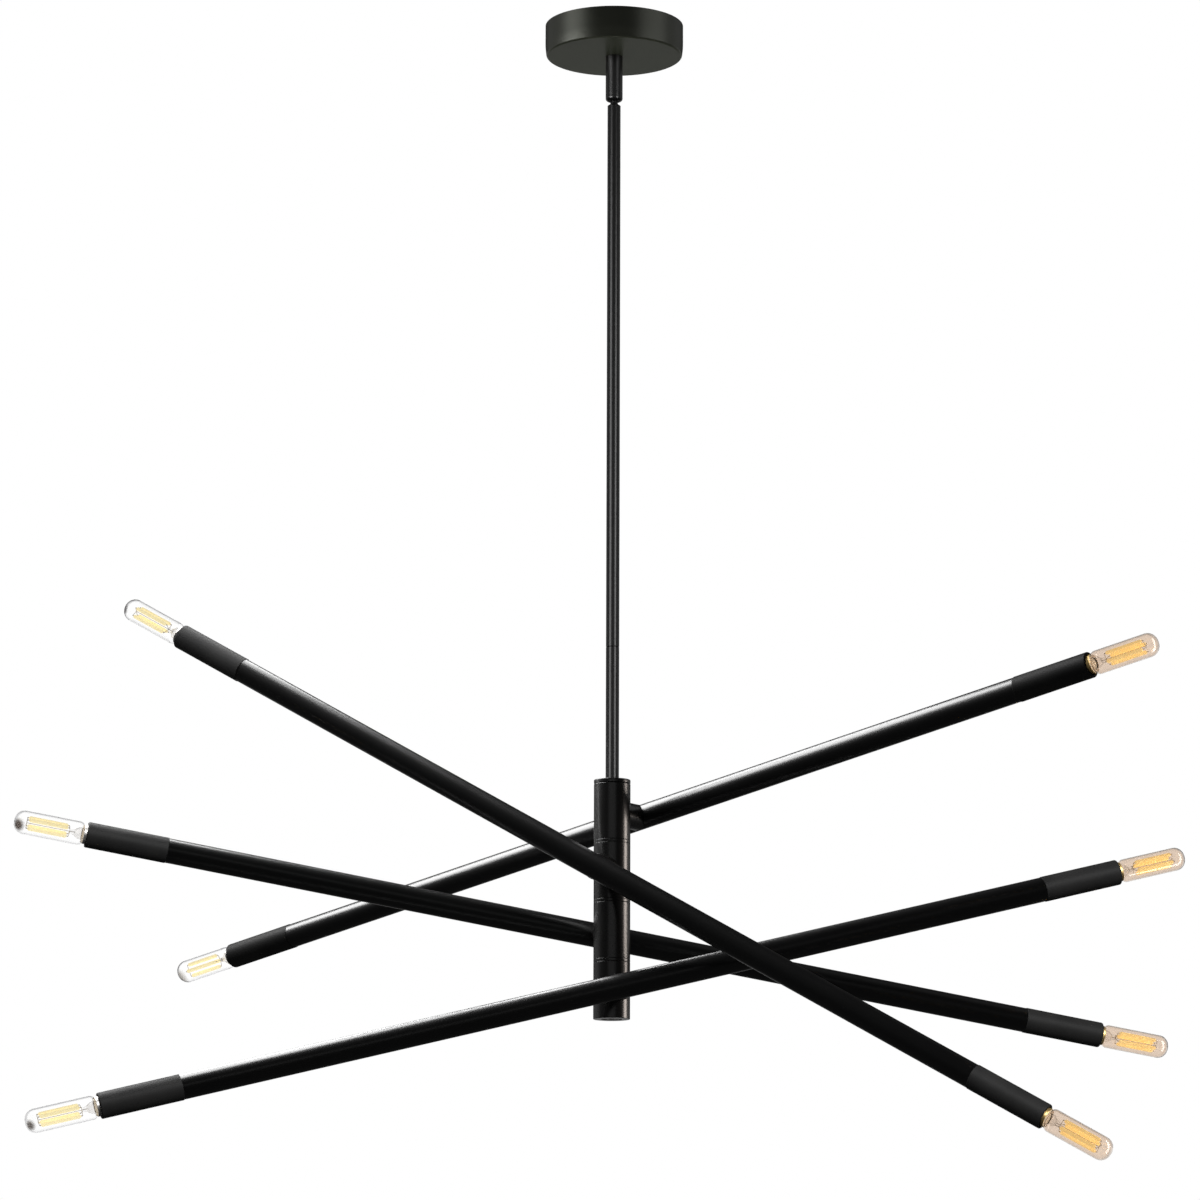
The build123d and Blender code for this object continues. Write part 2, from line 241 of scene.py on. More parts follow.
canopy_black = black_coat(
    "canopy_black",
    (0.0095, 0.0106, 0.0070),
    (0.0120, 0.0132, 0.0090),
    roughness=0.38,
    spread=0.05,
    peel_scale=1400.0,
    peel_depth=0.004,
    shine=0.70,
)
canopy_shader = canopy_black.node_tree.nodes["Principled BSDF"]
canopy_shader.inputs["Specular Tint"].default_value = (0.97, 1.0, 0.88, 1.0)
canopy_lean = []
for step in range(lean_steps):
    share = step / lean_span
    lean = lean_depth * share * share * (3 - 2 * share)
    canopy_lean.append((canopy_radius - lean, -lean_start - step, 0))
canopy_floor = -canopy_height + canopy_wall
canopy_bm = bmesh.new()
turned(
    canopy_bm,
    rounded(
        (canopy_radius, 0, soft_edge),
        *canopy_lean,
        (canopy_radius - canopy_tuck, -canopy_height, canopy_edge),
        (thread_hole, -canopy_height, fine_edge),
        (thread_hole, canopy_floor, fine_edge),
        (canopy_radius - canopy_tuck - canopy_wall, canopy_floor, canopy_edge - canopy_wall),
        (canopy_radius - canopy_wall, -lean_start, 0),
        (canopy_radius - canopy_wall, 0, soft_edge),
    ),
    steps=192,
)
piece("canopy_cup", canopy_bm, "ceiling_mount", "black_satin", ["canopy"], canopy_black)

# Ceiling strap and stud: a slotted bar and a hollow threaded stud of zinc plated steel.
# The bar is screwed to the ceiling box, the stud is screwed through the bar's collar.
# The spine inside the column and all the nuts have the same plating, and keep their CAD shapes.
zinc_steel, zinc_shader, zinc_place = new_finish("zinc_steel")
zinc_cloud = zinc_place.grain(150.0, 4.0)
zinc_colour = zinc_cloud.between(0.3, 0.7).tint((0.42, 0.43, 0.44), (0.60, 0.60, 0.57))
zinc_colour.feed(zinc_shader, "Base Color")
(0.30 + 0.25 * zinc_cloud).feed(zinc_shader, "Roughness")
zinc_shader.inputs["Metallic"].default_value = 1.0
zinc_nodes = ["ceiling_strap", "canopy_stud", "spine", "spine_nut"]
zinc_nodes += [f"pivot_nut_{number}" for number in range(1, 5)]


def refinish(node_name, finish):
    """Give a CAD node that keeps its shape a finish of its own."""
    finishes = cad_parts[node_name].data.materials
    finishes.clear()
    finishes.append(finish)


for node_name in zinc_nodes:
    refinish(node_name, zinc_steel)

# Swivel housing: a turned brass barrel with a rounded end, lacquered black.
# It is screwed up against the canopy and holds the ball that lets the rod hang straight.
swivel_radius = 7.5
swivel_bore = 6.4
swivel_top = -canopy_height
swivel_mouth = -69.2
swivel_edge = 2.6
swivel_top_edge = 0.25
swivel_lip = 1.0
swivel_mouth_radius = 4.6
rod_black = black_coat(
    "rod_black",
    (0.0030, 0.0029, 0.0032),
    (0.0040, 0.0039, 0.0042),
    roughness=0.28,
    spread=0.04,
    peel_scale=1800.0,
    peel_depth=0.001,
    shine=1.0,
)
housing_bm = bmesh.new()
turned(
    housing_bm,
    rounded(
        (swivel_bore, swivel_top, 0),
        (swivel_radius, swivel_top, swivel_top_edge),
        (swivel_radius, swivel_mouth, swivel_edge),
        (swivel_mouth_radius, swivel_mouth, fine_edge),
        (swivel_mouth_radius, swivel_mouth + swivel_lip, fine_edge),
        (swivel_bore, swivel_mouth + swivel_lip, 0),
    ),
    steps=96,
)
piece("swivel_barrel", housing_bm, "ceiling_mount", "black_satin", ["swivel_housing"], rod_black)

# Swivel seat: a nylon ring inside the barrel, moulded to the ball that turns in it.
# It lies on the barrel's lip, out of sight, and keeps its CAD shape.
seat_nylon, seat_shader, seat_place = new_finish("seat_nylon")
seat_cloud = seat_place.grain(300.0, 3.0)
seat_cloud.tint((0.70, 0.67, 0.58), (0.78, 0.76, 0.68)).feed(seat_shader, "Base Color")
(0.40 + 0.2 * seat_cloud).feed(seat_shader, "Roughness")
refinish("swivel_seat", seat_nylon)

# Ball stem: the swivel's ball, a thin neck and a coned shoulder, turned in one piece from brass
# and lacquered black. Its spigot is screwed into the top of the down rod.
ball_height = -64.6
ball_radius = 5.6
neck_radius = 3.3
shoulder_top = -72.3
rod_top = -73.3
shoulder_radius = 4.2
rod_radius = 11.5 / 2
rod_edge = 0.15
spigot_radius = 4.7
spigot_length = 12.0
wire_bore = 1.8
ball_start = math.asin(wire_bore / ball_radius)
ball_end = math.pi - math.asin(neck_radius / ball_radius)
ball_steps = 18
stem_outline = []
for step in range(ball_steps + 1):
    angle = ball_start + (ball_end - ball_start) * step / ball_steps
    height = ball_height + ball_radius * math.cos(angle)
    stem_outline.append((ball_radius * math.sin(angle), height, 0))
stem_outline += [
    (neck_radius, shoulder_top, soft_edge),
    (shoulder_radius, shoulder_top, fine_edge),
    (rod_radius, rod_top, rod_edge),
    (spigot_radius, rod_top, 0),
    (spigot_radius, rod_top - spigot_length, soft_edge),
    (wire_bore, rod_top - spigot_length, 0),
]
stem_bm = bmesh.new()
turned(stem_bm, rounded(*stem_outline), steps=96)
piece("swivel_ball", stem_bm, "stem", "black_satin", ["ball_stem"], rod_black)

# Down rod: two lengths of steel tube, lacquered black and screwed end to end.
# The chamfers on the two ends leave the fine ring that shows low on the rod.
rod_bore = 4.75
rod_joint = -559.1
column_top = -675.4
rod_chamfer = 0.4
joint_bore = 2.5
upper_bm = bmesh.new()
turned(
    upper_bm,
    rounded(
        (rod_bore, rod_top, 0),
        (rod_radius, rod_top, rod_edge),
        (rod_radius, rod_joint + rod_chamfer, 0),
        (rod_radius - rod_chamfer, rod_joint, 0),
        (rod_bore, rod_joint, 0),
    ),
    steps=96,
)
piece("down_rod_upper", upper_bm, "stem", "black_satin", ["rod_upper"], rod_black)
lower_bm = bmesh.new()
turned(
    lower_bm,
    rounded(
        (rod_bore, column_top, 0),
        (rod_radius, column_top, rod_edge),
        (rod_radius, rod_joint - rod_chamfer, 0),
        (rod_radius - rod_chamfer, rod_joint, 0),
        (spigot_radius, rod_joint, 0),
        (spigot_radius, rod_joint + spigot_length, soft_edge),
        (joint_bore, rod_joint + spigot_length, 0),
        (joint_bore, rod_joint - spigot_length, 0),
        (rod_bore, rod_joint - spigot_length, 0),
    ),
    steps=96,
)
piece("down_rod_lower", lower_bm, "stem", "black_satin", ["rod_lower"], rod_black)

# Column cap and spacer rings: turned steel discs with a register that centres the hub below.
# They are clamped with the hubs on the spine but don't turn with them, and their eased edges
# draw the pairs of fine lines on the column.
column_radius = 31.5 / 2
cap_thickness = 3.8
cap_edge = 0.6
cap_bore_edge = 0.1
cap_groove = 0.8
cap_low = column_top - cap_thickness
ring_thickness = 2.6
hub_height = 48.6
hub_gap = 0.05
register_radius = 13.65
register_depth = 2.5
hub_spacing = hub_height + ring_thickness + 2 * hub_gap
hub_tops = [cap_low - hub_gap - step * hub_spacing for step in range(4)]
column_black = black_coat(
    "column_black",
    (0.0034, 0.0032, 0.0030),
    (0.0046, 0.0043, 0.0040),
    roughness=0.27,
    spread=0.04,
    peel_scale=1600.0,
    peel_depth=0.002,
    shine=1.0,
)
discs_bm = bmesh.new()
turned(
    discs_bm,
    rounded(
        (thread_hole, column_top, cap_bore_edge),
        (column_radius, column_top, cap_edge),
        (column_radius, cap_low + cap_groove, 0),
        (column_radius - cap_groove, cap_low, 0),
        (register_radius, cap_low, 0),
        (register_radius, cap_low - register_depth, 0),
        (thread_hole, cap_low - register_depth, 0),
    ),
)
piece("column_lid", discs_bm, "stem", "black_satin", ["column_cap"], column_black)
rings_bm = bmesh.new()
for hub_top in hub_tops[:-1]:
    ring_top = hub_top - hub_height - hub_gap
    ring_low = ring_top - ring_thickness
    turned(
        rings_bm,
        rounded(
            (thread_hole, ring_top, 0),
            (column_radius, ring_top, soft_edge),
            (column_radius, ring_low, soft_edge),
            (register_radius, ring_low, 0),
            (register_radius, ring_low - register_depth, 0),
            (thread_hole, ring_low - register_depth, 0),
        ),
    )
piece("column_rings", rings_bm, "stem", "black_satin", ["spacer_rings"], column_black)

# Hubs: four drums turned from aluminium, each free to turn on the spine, with a boss pressed in
# for the arm's hinge. Anodised and lacquered black.
hub_wall = 2.0
hub_floor = 6.5
hub_edge = 0.35
nut_recess_radius = 9.0
nut_recess_depth = 3.4
boss_radius = 11.3
boss_stand = 6.3
hinge_face = column_radius + boss_stand
pad_face = 11.0
stub_headings = (33.6, 201.4, -11.5, 168.0)
arm_tilts = (12.0, -29.4, -9.6, 14.0)
arms = []
for heading, tilt, hub_top in zip(stub_headings, arm_tilts, hub_tops):
    angle = math.radians(heading)
    out = Vector((math.sin(angle), math.cos(angle), 0))
    level = Vector((math.cos(angle), -math.sin(angle), 0))
    if level.x < 0:
        level = -level
    rise = math.radians(tilt)
    along = level * math.cos(rise) + Vector((0, 0, math.sin(rise)))
    arms.append((Vector((0, 0, hub_top - hub_height / 2)), out, along))
for number, (hub_top, (middle, out, along)) in enumerate(zip(hub_tops, arms), start=1):
    hub_bm = bmesh.new()
    hub_low = hub_top - hub_height
    turned(
        hub_bm,
        rounded(
            (thread_hole, hub_low + nut_recess_depth, 0),
            (nut_recess_radius, hub_low + nut_recess_depth, 0),
            (nut_recess_radius, hub_low, fine_edge),
            (column_radius, hub_low, hub_edge),
            (column_radius, hub_top, hub_edge),
            (column_radius - hub_wall, hub_top, 0),
            (column_radius - hub_wall, hub_low + hub_floor, 0),
            (thread_hole, hub_low + hub_floor, 0),
        ),
    )
    turned(
        hub_bm,
        rounded(
            (thread_hole, pad_face, 0),
            (boss_radius, pad_face, 0),
            (boss_radius, hinge_face, soft_edge),
            (thread_hole, hinge_face, 0),
        ),
        standing(middle, out, along),
        steps=96,
    )
    hub = f"hub_{number}"
    piece(f"hub_drum_{number}", hub_bm, hub, "black_satin", [hub], column_black)

# Arm pivots: hollow steel shafts with a collar, brazed to the middle of each arm and lacquered
# with the hubs. The shaft passes through the hub's boss, and a nut inside the hub holds it with
# some friction.
hinge_gap = 0.1
arm_reach = 42.0
saddle_setback = 4.0
pivot_radius = 4.7
pivot_bore = 2.5
pivot_end = 7.0
for number, (middle, out, along) in enumerate(arms, start=1):
    pivot_bm = bmesh.new()
    turned(
        pivot_bm,
        rounded(
            (pivot_bore, pivot_end, 0),
            (pivot_radius, pivot_end, soft_edge),
            (pivot_radius, hinge_face + hinge_gap, 0),
            (boss_radius, hinge_face + hinge_gap, soft_edge),
            (boss_radius, arm_reach - saddle_setback, soft_edge),
            (pivot_bore, arm_reach - saddle_setback, 0),
        ),
        standing(middle, out, along),
        steps=96,
    )
    nodes = [f"arm_pivot_{number}"]
    piece(f"arm_collar_{number}", pivot_bm, f"arm_{number}", "black_satin", nodes, column_black)

# Arms: straight thin-walled steel tubes, polished and coated in gloss black.
# Each is brazed to its pivot's collar at the middle. A wall section is swept round the arm's line
# by one rule, four times.
tube_radius = 21.2 / 2
tube_wall = 1.5
tube_length = 768.0
tube_steps = 128
arm_black = black_coat(
    "arm_black",
    (0.0014, 0.0014, 0.0016),
    (0.0020, 0.0020, 0.0022),
    roughness=0.31,
    spread=0.04,
    peel_scale=900.0,
    peel_depth=0.001,
    shine=1.0,
)


def add_node(tree, kind, settings, sockets):
    """Add a geometry node: its settings first, then a value or a link for each socket."""
    new = tree.nodes.new(kind)
    for name, value in settings.items():
        setattr(new, name, value)
    for name, value in sockets.items():
        if isinstance(value, bpy.types.NodeSocket):
            tree.links.new(value, new.inputs[name])
        else:
            new.inputs[name].default_value = value
    return new


def new_rule(name, *sizes):
    """A geometry tree with these named sizes, and the sockets that hand them in."""
    tree = bpy.data.node_groups.new(name, "GeometryNodeTree")
    for size, kind in sizes:
        tree.interface.new_socket(size, in_out="INPUT", socket_type=f"NodeSocket{kind}")
    tree.interface.new_socket("Shape", in_out="OUTPUT", socket_type="NodeSocketGeometry")
    return tree, tree.nodes.new("NodeGroupInput").outputs


def end_rule(tree, shape, finish):
    """Close a tree: real faces only, in one finish."""
    real = add_node(tree, "GeometryNodeRealizeInstances", {}, {"Geometry": shape})
    coated = add_node(
        tree,
        "GeometryNodeSetMaterial",
        {},
        {"Geometry": real.outputs["Geometry"], "Material": finish},
    )
    tree.links.new(coated.outputs["Geometry"], tree.nodes.new("NodeGroupOutput").inputs["Shape"])


def made_by(tree, sizes):
    """Run a tree with these sizes and hand back its shape as a plain mesh."""
    holder = bpy.data.objects.new(tree.name, bpy.data.meshes.new(tree.name))
    bpy.context.scene.collection.objects.link(holder)
    rule = holder.modifiers.new(tree.name, "NODES")
    rule.node_group = tree
    for socket in tree.interface.items_tree:
        if socket.in_out == "INPUT":
            rule[socket.identifier] = sizes[socket.name]
    graph = bpy.context.evaluated_depsgraph_get()
    mesh = bpy.data.meshes.new_from_object(holder.evaluated_get(graph), depsgraph=graph)
    holder.modifiers.remove(rule)
    bpy.data.objects.remove(holder)
    return mesh


def placed(mesh, place):
    """A mesh in the making that starts as a rule's shape, moved to its place."""
    bm = bmesh.new()
    bm.from_mesh(mesh)
    bm.transform(place)
    bmesh.ops.recalc_face_normals(bm, faces=bm.faces)
    for face in bm.faces:
        face.smooth = True
    return bm


tube_rule, tube_sizes = new_rule(
    "tube_rule", ("Radius", "Float"), ("Wall", "Float"), ("Length", "Float"), ("Steps", "Int")
)
half_wall = add_node(
    tube_rule, "ShaderNodeMath", {"operation": "MULTIPLY"}, {0: tube_sizes["Wall"], 1: 0.5}
)
wall_middle = add_node(
    tube_rule,
    "ShaderNodeMath",
    {"operation": "SUBTRACT"},
    {0: tube_sizes["Radius"], 1: half_wall.outputs[0]},
)
wall_round = add_node(
    tube_rule,
    "GeometryNodeCurvePrimitiveCircle",
    {"mode": "RADIUS"},
    {"Resolution": tube_sizes["Steps"], "Radius": wall_middle.outputs[0]},
)
wall_section = add_node(
    tube_rule,
    "GeometryNodeCurvePrimitiveQuadrilateral",
    {"mode": "RECTANGLE"},
    {"Width": tube_sizes["Wall"], "Height": tube_sizes["Length"]},
)
tube_shape = add_node(
    tube_rule,
    "GeometryNodeCurveToMesh",
    {},
    {"Curve": wall_round.outputs[0], "Profile Curve": wall_section.outputs[0]},
)
end_rule(tube_rule, tube_shape.outputs[0], arm_black)
for number, (middle, out, along) in enumerate(arms, start=1):
    tube = made_by(
        tube_rule,
        {
            "Radius": tube_radius * mm,
            "Wall": tube_wall * mm,
            "Length": tube_length * mm,
            "Steps": tube_steps,
        },
    )
    tube_bm = placed(tube, standing(middle + out * arm_reach, along, out))
    nodes = [f"arm_tube_{number}"]
    piece(f"arm_{number}_tube", tube_bm, f"arm_{number}", "black_gloss", nodes, arm_black)

# Socket covers: turned aluminium sleeves with a rounded mouth, sprayed matt black.
# They are pushed over the lamp sockets, one at each end of an arm, and butt against the tube.
cover_radius = 11.0
cover_length = 70.0
cover_wall = 1.6
cover_lip = 1.2
cover_foot_edge = 0.25
cover_black = black_coat(
    "cover_black",
    (0.0130, 0.0130, 0.0130),
    (0.0168, 0.0166, 0.0164),
    roughness=0.55,
    spread=0.08,
    peel_scale=2600.0,
    peel_depth=0.008,
    shine=0.12,
)
ends = []
for middle, out, along in arms:
    for way in (-along, along):
        tube_end = middle + out * arm_reach + way * (tube_length / 2)
        ends.append(standing(tube_end, way, way.cross(out)))
end_pairs = list(zip(ends[::2], ends[1::2]))
for number, pair in enumerate(end_pairs, start=1):
    covers_bm = bmesh.new()
    for place in pair:
        turned(
            covers_bm,
            rounded(
                (cover_radius - cover_wall, 0, 0),
                (cover_radius, 0, cover_foot_edge),
                (cover_radius, cover_length, cover_lip),
                (cover_radius - cover_wall, cover_length, soft_edge),
            ),
            place,
        )
    nodes = [f"socket_covers_{number}"]
    piece(f"arm_{number}_sleeves", covers_bm, f"arm_{number}", "black_matt", nodes, cover_black)

# Lamp sockets: black phenolic moulds with a cup for the screw base and a hole for the wires.
# They are plugged into the ends of the arm, and their mouths sit a little inside the sleeves.
socket_radius = 9.2
socket_plug_radius = 8.9
socket_plug = 12.0
socket_mouth = 66.0
socket_edge = 0.8
socket_bore = 2.5
cup_radius = 7.0
cup_edge = 0.4
cup_floor = 51.0
cup_floor_thickness = 3.0
socket_black = black_coat(
    "socket_black",
    (0.010, 0.009, 0.008),
    (0.016, 0.014, 0.012),
    roughness=0.38,
    spread=0.10,
    peel_scale=900.0,
    peel_depth=0.02,
)
for number, pair in enumerate(end_pairs, start=1):
    sockets_bm = bmesh.new()
    for place in pair:
        turned(
            sockets_bm,
            rounded(
                (socket_bore, -socket_plug, 0),
                (socket_plug_radius, -socket_plug, 0),
                (socket_plug_radius, 0, 0),
                (socket_radius, 0, 0),
                (socket_radius, socket_mouth, socket_edge),
                (cup_radius, socket_mouth, cup_edge),
                (cup_radius, cup_floor, 0),
                (0, cup_floor, 0),
                (0, cup_floor - cup_floor_thickness, 0),
                (socket_bore, cup_floor - cup_floor_thickness, 0),
            ),
            place,
            steps=64,
        )
    nodes = [f"lamp_sockets_{number}"]
    piece(
        f"arm_{number}_sockets", sockets_bm, f"arm_{number}", "socket_plastic", nodes, socket_black
    )

# Lamp bases: thin rolled shells, nickel plated on the left and brass on the right, closed by a
# black glass cone and a contact. Pale cement seals the lamp into the shell, and it is given a
# faint painted glow so that it looks lit though the glass keeps the light off it.
# The thread is one wire-like ridge that follows a screw line up the shell.
base_top = 72.5
base_radius = 6.9
skirt_radius = 8.4
skirt_edge = 0.5
skirt_low = base_top - 3.0
skirt_slope = 1.5
cement_radius = 7.9
cement_top = base_top - 0.2
cement_seat = base_top - 1.0
cement_low = base_top - 1.2
cement_lap = 0.1
thread_ridge = 0.45
thread_turns = 4.5
thread_pitch = 2.2
thread_lead = 1.4
shell_radius = base_radius - thread_ridge
shell_end = base_top - 14.5
shell_tuck = 0.4
shell_tuck_height = 0.8
cone_end = shell_end - 4.5
cone_radius = 4.0
cone_edge = 0.6
cone_inset = 0.6
contact_end = cone_end - 1.6
contact_radius = 2.3
contact_edge = 0.8
lap = 0.2
cone_finish = 1
cement_finish = 2


def rolled_shell(name, dull, bright):
    """Thin rolled metal with a cloudy polish."""
    finish, shader, place = new_finish(name)
    cloud = place.grain(260.0, 4.0)
    cloud.between(0.3, 0.75).tint(dull, bright).feed(shader, "Base Color")
    (0.34 + 0.22 * cloud).feed(shader, "Roughness")
    shader.inputs["Metallic"].default_value = 1.0
    return finish


base_brass = rolled_shell("base_brass", (0.70, 0.48, 0.18), (0.92, 0.70, 0.34))
base_nickel = rolled_shell("base_nickel", (0.56, 0.54, 0.52), (0.78, 0.77, 0.75))
base_glass = black_coat(
    "base_insulator",
    (0.004, 0.004, 0.005),
    (0.008, 0.008, 0.009),
    roughness=0.12,
    spread=0.06,
    peel_scale=500.0,
    peel_depth=0.01,
)
base_cement, cement_shader, cement_place = new_finish("base_cement")
cement_cloud = cement_place.grain(900.0, 3.0)
cement_patches_and_glow = cement_cloud.between(0.3, 0.7)
cement_patches_and_glow.tint((0.74, 0.68, 0.58), (0.84, 0.79, 0.70)).feed(cement_shader, "Base Color")
(0.75 + 0.15 * cement_cloud).feed(cement_shader, "Roughness")
# Painted light: the cement glows faintly in its own patchy colours, so that it looks pale under the
# glass.
cement_patches_and_glow.tint((0.74, 0.56, 0.35), (0.90, 0.78, 0.60)).feed(cement_shader, "Emission Color")
cement_shader.inputs["Emission Strength"].default_value = 0.45
thread_rule, thread_sizes = new_rule(
    "thread_rule", ("Radius", "Float"), ("Ridge", "Float"), ("Turns", "Float"), ("Height", "Float")
)
screw_line = add_node(
    thread_rule,
    "GeometryNodeCurveSpiral",
    {},
    {
        "Resolution": 48,
        "Rotations": thread_sizes["Turns"],
        "Start Radius": thread_sizes["Radius"],
        "End Radius": thread_sizes["Radius"],
        "Height": thread_sizes["Height"],
    },
)
ridge_round = add_node(
    thread_rule,
    "GeometryNodeCurvePrimitiveCircle",
    {"mode": "RADIUS"},
    {"Resolution": 10, "Radius": thread_sizes["Ridge"]},
)
ridge_shape = add_node(
    thread_rule,
    "GeometryNodeCurveToMesh",
    {},
    {"Curve": screw_line.outputs[0], "Profile Curve": ridge_round.outputs[0], "Fill Caps": True},
)
end_rule(thread_rule, ridge_shape.outputs[0], base_brass)
for number, place in enumerate(ends, start=1):
    thread = made_by(
        thread_rule,
        {
            "Radius": shell_radius * mm,
            "Ridge": thread_ridge * mm,
            "Turns": thread_turns,
            "Height": thread_turns * thread_pitch * mm,
        },
    )
    thread_start = Matrix.Translation((0, 0, (shell_end + thread_lead) * mm))
    base_bm = placed(thread, place @ thread_start)
    turned(
        base_bm,
        rounded(
            (0, shell_end, 0),
            (shell_radius - shell_tuck, shell_end, soft_edge),
            (shell_radius, shell_end + shell_tuck_height, soft_edge),
            (shell_radius, skirt_low - skirt_slope, skirt_edge),
            (skirt_radius, skirt_low, skirt_edge),
            (skirt_radius, base_top, soft_edge),
            (cement_radius, base_top, fine_edge),
            (cement_radius, cement_seat, 0),
            (0, cement_seat, 0),
        ),
        place,
        steps=64,
    )
    turned(
        base_bm,
        rounded(
            (0, cement_low, 0),
            (cement_radius + cement_lap, cement_low, 0),
            (cement_radius + cement_lap, cement_top, 0),
            (0, cement_top, 0),
        ),
        place,
        steps=64,
        index=cement_finish,
    )
    turned(
        base_bm,
        rounded(
            (0, cone_end, 0),
            (cone_radius, cone_end, cone_edge),
            (shell_radius - cone_inset, shell_end + lap, 0),
            (0, shell_end + lap, 0),
        ),
        place,
        steps=48,
        index=cone_finish,
    )
    turned(
        base_bm,
        rounded(
            (0, contact_end, 0),
            (contact_radius, contact_end, contact_edge),
            (contact_radius, cone_end + lap, 0),
            (0, cone_end + lap, 0),
        ),
        place,
        steps=48,
    )
    piece(
        f"lamp_{number}_base",
        base_bm,
        f"bulb_{number}",
        "base_brass",
        [f"bulb_base_{number}"],
        base_nickel if number % 2 else base_brass,
        base_glass,
        base_cement,
    )

# Lamp filaments: four sticks of light chips under yellow phosphor, welded between two wire crosses.
# The crosses sit on a wire that is melted into a hollow glass stem with a flared foot.
stick_count = 4
stick_radius = 3.3 / 2
stick_length = 34.0
stick_start = base_top + 13.7
stick_end = stick_start + stick_length
stick_circle = 5.2
stick_turns = (73.0, 37.0, 33.0, 17.0, 21.0, 31.0, 24.0, 26.0)


def phosphor(name, deep, pale, glow):
    """Soft yellow coating that glows a little, slightly uneven."""
    finish, shader, place = new_finish(name)
    cloud = place.grain(700.0, 2.0)
    colour = cloud.between(0.3, 0.7).tint(deep, pale)
    colour.feed(shader, "Base Color")
    colour.feed(shader, "Emission Color")
    shader.inputs["Emission Strength"].default_value = glow
    (0.45 + 0.2 * cloud).feed(shader, "Roughness")
    return finish


stick_pale = phosphor("stick_pale", (0.92, 0.77, 0.41), (0.97, 0.87, 0.52), 0.58)
stick_golden = phosphor("stick_golden", (0.98, 0.70, 0.27), (1.0, 0.79, 0.35), 0.60)
stick_rule, stick_sizes = new_rule(
    "stick_rule",
    ("Count", "Int"),
    ("Circle", "Float"),
    ("Radius", "Float"),
    ("Length", "Float"),
    ("Turn", "Float"),
)
stick_ring = add_node(
    stick_rule,
    "GeometryNodeMeshCircle",
    {},
    {"Vertices": stick_sizes["Count"], "Radius": stick_sizes["Circle"]},
)
stick_top = add_node(stick_rule, "ShaderNodeCombineXYZ", {}, {"Z": stick_sizes["Length"]})
stick_line = add_node(
    stick_rule, "GeometryNodeCurvePrimitiveLine", {}, {"End": stick_top.outputs[0]}
)
stick_cuts = add_node(
    stick_rule, "GeometryNodeResampleCurve", {}, {"Curve": stick_line.outputs[0], "Count": 65}
)
stick_along = add_node(stick_rule, "GeometryNodeSplineParameter", {}, {})
stick_from_middle = add_node(
    stick_rule,
    "ShaderNodeMath",
    {"operation": "SUBTRACT"},
    {0: stick_along.outputs["Factor"], 1: 0.5},
)
stick_to_end = add_node(
    stick_rule, "ShaderNodeMath", {"operation": "ABSOLUTE"}, {0: stick_from_middle.outputs[0]}
)
stick_swell = add_node(
    stick_rule,
    "ShaderNodeMapRange",
    {"interpolation_type": "SMOOTHERSTEP"},
    {
        "Value": stick_to_end.outputs[0],
        "From Min": 0.5,
        "From Max": 0.465,
        "To Min": 0.35,
        "To Max": 1.0,
    },
)
stick_bulge = add_node(
    stick_rule,
    "GeometryNodeSetCurveRadius",
    {},
    {"Curve": stick_cuts.outputs[0], "Radius": stick_swell.outputs[0]},
)
stick_round = add_node(
    stick_rule,
    "GeometryNodeCurvePrimitiveCircle",
    {"mode": "RADIUS"},
    {"Resolution": 16, "Radius": stick_sizes["Radius"]},
)
stick_body = add_node(
    stick_rule,
    "GeometryNodeCurveToMesh",
    {},
    {
        "Curve": stick_bulge.outputs[0],
        "Profile Curve": stick_round.outputs[0],
        "Scale": stick_swell.outputs[0],
        "Fill Caps": True,
    },
)
stick_set = add_node(
    stick_rule,
    "GeometryNodeInstanceOnPoints",
    {},
    {"Points": stick_ring.outputs[0], "Instance": stick_body.outputs[0]},
)
stick_way = add_node(stick_rule, "ShaderNodeCombineXYZ", {}, {"Z": stick_sizes["Turn"]})
stick_turned = add_node(
    stick_rule,
    "GeometryNodeTransform",
    {},
    {"Geometry": stick_set.outputs[0], "Rotation": stick_way.outputs[0]},
)
end_rule(stick_rule, stick_turned.outputs[0], stick_pale)
stem_glass, stem_shader, stem_place = new_finish("stem_glass")
stem_cloud = stem_place.grain(200.0, 2.0)
stem_colour = stem_cloud.between(0.35, 0.65).tint((0.84, 0.83, 0.82), (0.96, 0.95, 0.94))
stem_colour.feed(stem_shader, "Base Color")
(0.04 * stem_cloud).feed(stem_shader, "Roughness")
stem_shader.inputs["Transmission Weight"].default_value = 1.0
stem_shader.inputs["IOR"].default_value = 1.12
wire_steel, wire_shader, wire_place = new_finish("wire_steel")
wire_cloud = wire_place.grain(700.0, 3.0)
wire_cloud.tint((0.60, 0.54, 0.46), (0.76, 0.70, 0.62)).feed(wire_shader, "Base Color")
(0.25 + 0.2 * wire_cloud).feed(wire_shader, "Roughness")
wire_finish = 1
wire_radius = 0.25
wire_root = 4.0
wire_tip = 1.0
weld_radius = 0.5
cross_gap = 1.2
cross_drop = 0.8
stem_radius = 5.4
stem_length = 11.0
stem_top = base_top + stem_length
stem_outer = (
    (stem_radius, base_top, 0),
    (stem_radius - 0.3, base_top + 4.5, 2.0),
    (2.4, base_top + 8.0, 1.5),
    (2.0, stem_top, 1.2),
    (0, stem_top, 0),
)
stem_inner = (
    (0, stem_top - 3.0, 0),
    (1.7, base_top + 7.6, 1.0),
    (stem_radius - 0.9, base_top + 4.2, 1.6),
    (stem_radius - 0.6, base_top, 0),
)


def wire(bm, start, end, radius, place):
    """A round wire between two points of the lamp's frame."""
    run = Vector(end) - Vector(start)
    side = (1, 0, 0) if abs(run.normalized().z) > 0.9 else (0, 0, 1)
    turned(
        bm,
        rounded(
            (0, 0, 0),
            (radius, 0, radius * 0.5),
            (radius, run.length, radius * 0.5),
            (0, run.length, 0),
        ),
        place @ standing(start, run, side),
        steps=10,
        index=wire_finish,
    )


